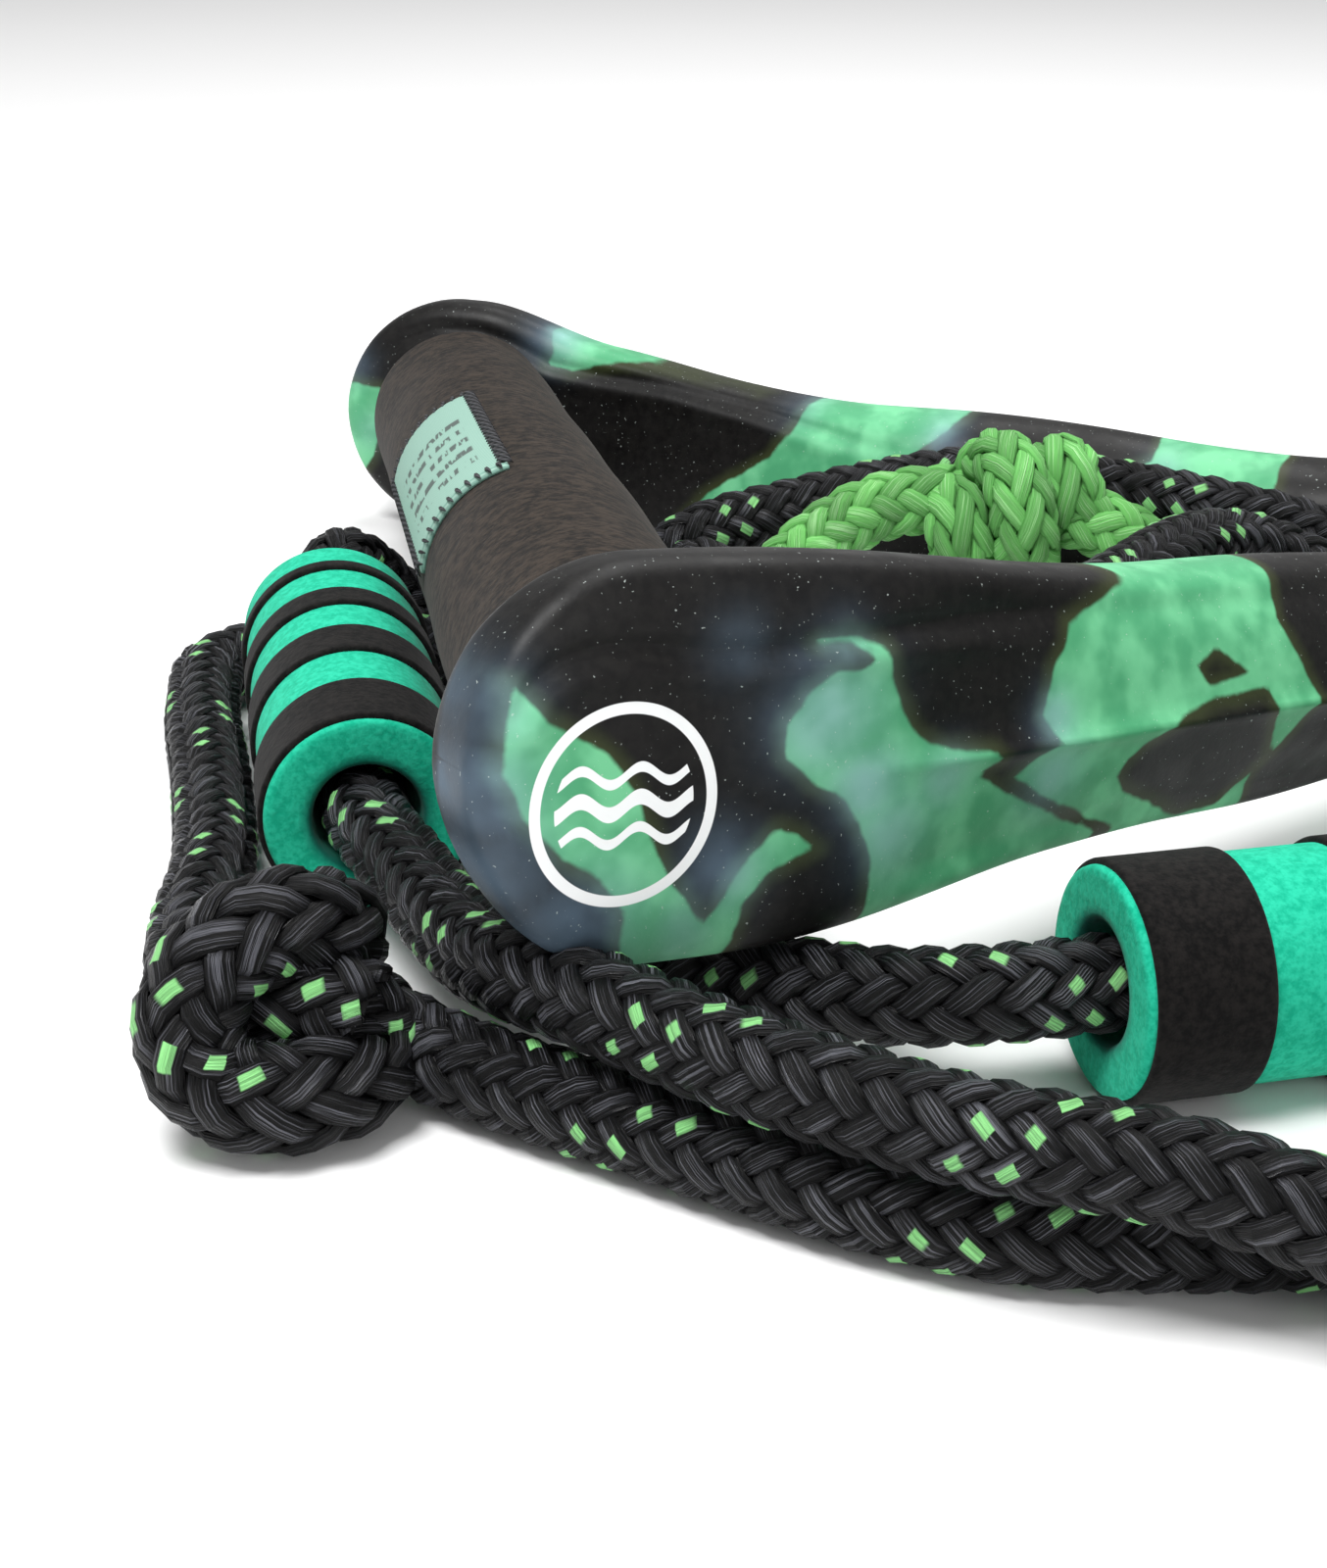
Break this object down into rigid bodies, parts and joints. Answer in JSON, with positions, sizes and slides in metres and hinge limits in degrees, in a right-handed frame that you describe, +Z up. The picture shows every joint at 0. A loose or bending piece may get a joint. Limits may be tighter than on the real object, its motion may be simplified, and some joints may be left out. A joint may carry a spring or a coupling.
{
  "type": "tow rope handle",
  "caption": "Wakesurf tow rope handle: a foam-covered bar between two marbled silicone arms that meet at a yoke, with knotted tow rope, foam floats and a tied coil.",
  "frame": {"origin": "on the floor, below the middle of the handle's own bounding box, leaving out the rope and what is on it", "axes": "+X from the grip towards the yoke, +Y along the bar from the propped arm to the arm on the floor, +Z up"},
  "size_m": [0.431, 0.3755, 0.0652],
  "materials": {
    "bar_aluminium": "drawn tube, mostly hidden in the grip",
    "grip_foam": "dark brown fine-grained foam, matt",
    "woven_label": "pale mint woven label with a stitched edge",
    "plug_nylon": "black moulded nylon",
    "marbled_silicone": "black and mint marbled silicone, satin, with a rolled rim",
    "black_rope": "glossy black braided filament with light green tracer yarns",
    "lime_rope": "soft lime green braid",
    "float_mint": "mint EVA foam, fine cells, scorched at the bore's edge",
    "float_black": "black EVA foam, matt",
    "strap": "black webbing and whipping twine"
  },
  "bodies": {
    "rope": {"lime_eye": "lime_rope", "lime_eye_sleeve": "lime_rope", "lime_lead_rope": "lime_rope", "lime_knot": "lime_rope", "lime_lead_end": "lime_rope", "join_knot": "black_rope", "black_rope_behind_knot": "black_rope", "black_knot": "black_rope", "black_rope_mid": "black_rope", "rope_coil": "black_rope", "coil_tie": "strap", "black_rope_tow": "black_rope", "tow_eye_sleeve": "strap", "tow_eye": "black_rope"},
    "handle": {"bar_tube": "bar_aluminium", "grip_sleeve": "grip_foam", "grip_label": "woven_label", "near_bar_plug": "plug_nylon", "far_bar_plug": "plug_nylon", "near_arm": "marbled_silicone", "far_arm": "marbled_silicone", "yoke_sleeve": "marbled_silicone", "bridle_rope": "black_rope"},
    "left_float": {"left_float_core": "float_mint", "left_float_band_1": "float_black", "left_float_band_2": "float_black", "left_float_band_3": "float_black", "left_float_band_4": "float_black"},
    "right_float": {"right_float_core": "float_mint", "right_float_band_1": "float_black", "right_float_band_2": "float_black", "right_float_band_3": "float_black", "right_float_band_4": "float_black"}
  },
  "joints": [
    {"name": "handle_swing", "type": "hinge", "parent": "rope", "child": "handle", "pos_m": [0.14945, -0.0039, 0.025], "axis": [0, 1, 0], "range_deg": [0, 80]},
    {"name": "left_float_slide", "type": "slide", "parent": "rope", "child": "left_float", "axis": [-0.0251, 0.9997, 0], "range_m": [-0.0025, 0.003]},
    {"name": "right_float_slide", "type": "slide", "parent": "rope", "child": "right_float", "axis": [0.9925, 0.1224, 0], "range_m": [-0.012, 0.01]}
  ]
}
